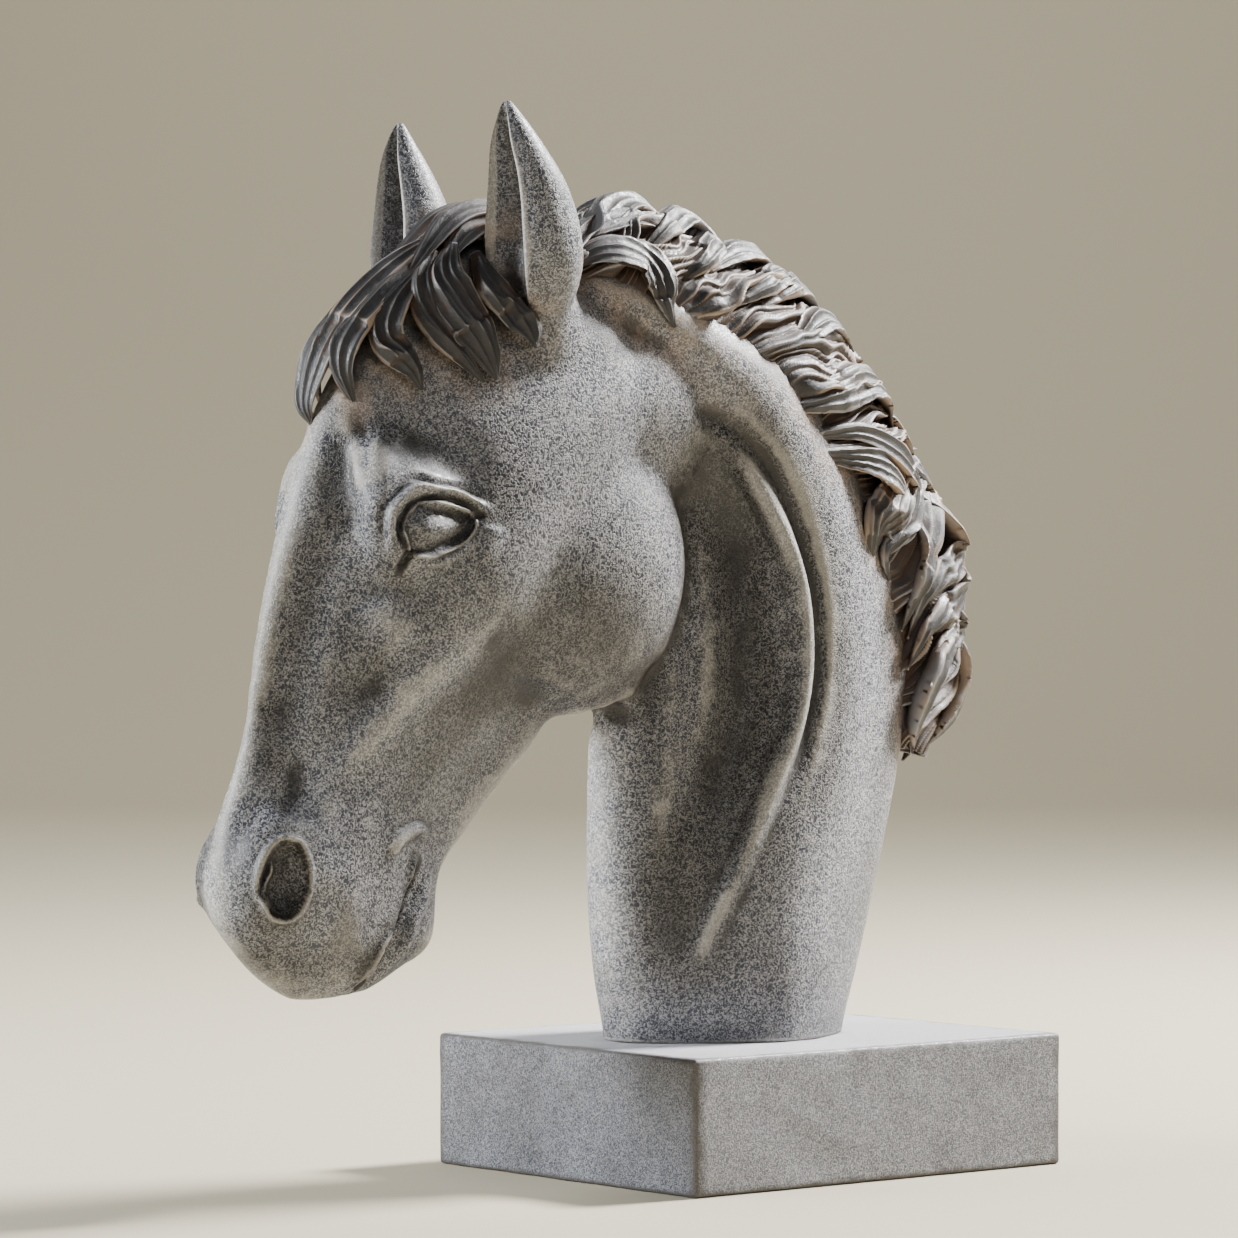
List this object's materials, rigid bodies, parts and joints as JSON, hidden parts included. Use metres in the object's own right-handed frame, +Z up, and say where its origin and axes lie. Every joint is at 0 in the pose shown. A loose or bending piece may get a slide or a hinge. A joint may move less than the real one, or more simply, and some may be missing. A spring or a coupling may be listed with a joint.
{
  "type": "horse head sculpture",
  "caption": "Tabletop bust of a horse's head and arched neck with forelock, pricked ears and swept mane, on a plain block plinth.",
  "frame": {"origin": "middle of the plinth's underside", "axes": "+Z up, the horse looks towards -Y, its left side is +X"},
  "size_m": [0.152, 0.3626, 0.3938],
  "materials": {
    "bust_grey": "matt cast, stone grained, dark grey with pale dry-brushed highs and an ochre wash in the hair",
    "plinth_grey": "matt cast, stone grained, pale grey with dark rubbed edges"
  },
  "bodies": {
    "root": {"horse_head": "bust_grey", "plinth": "plinth_grey"}
  },
  "joints": []
}
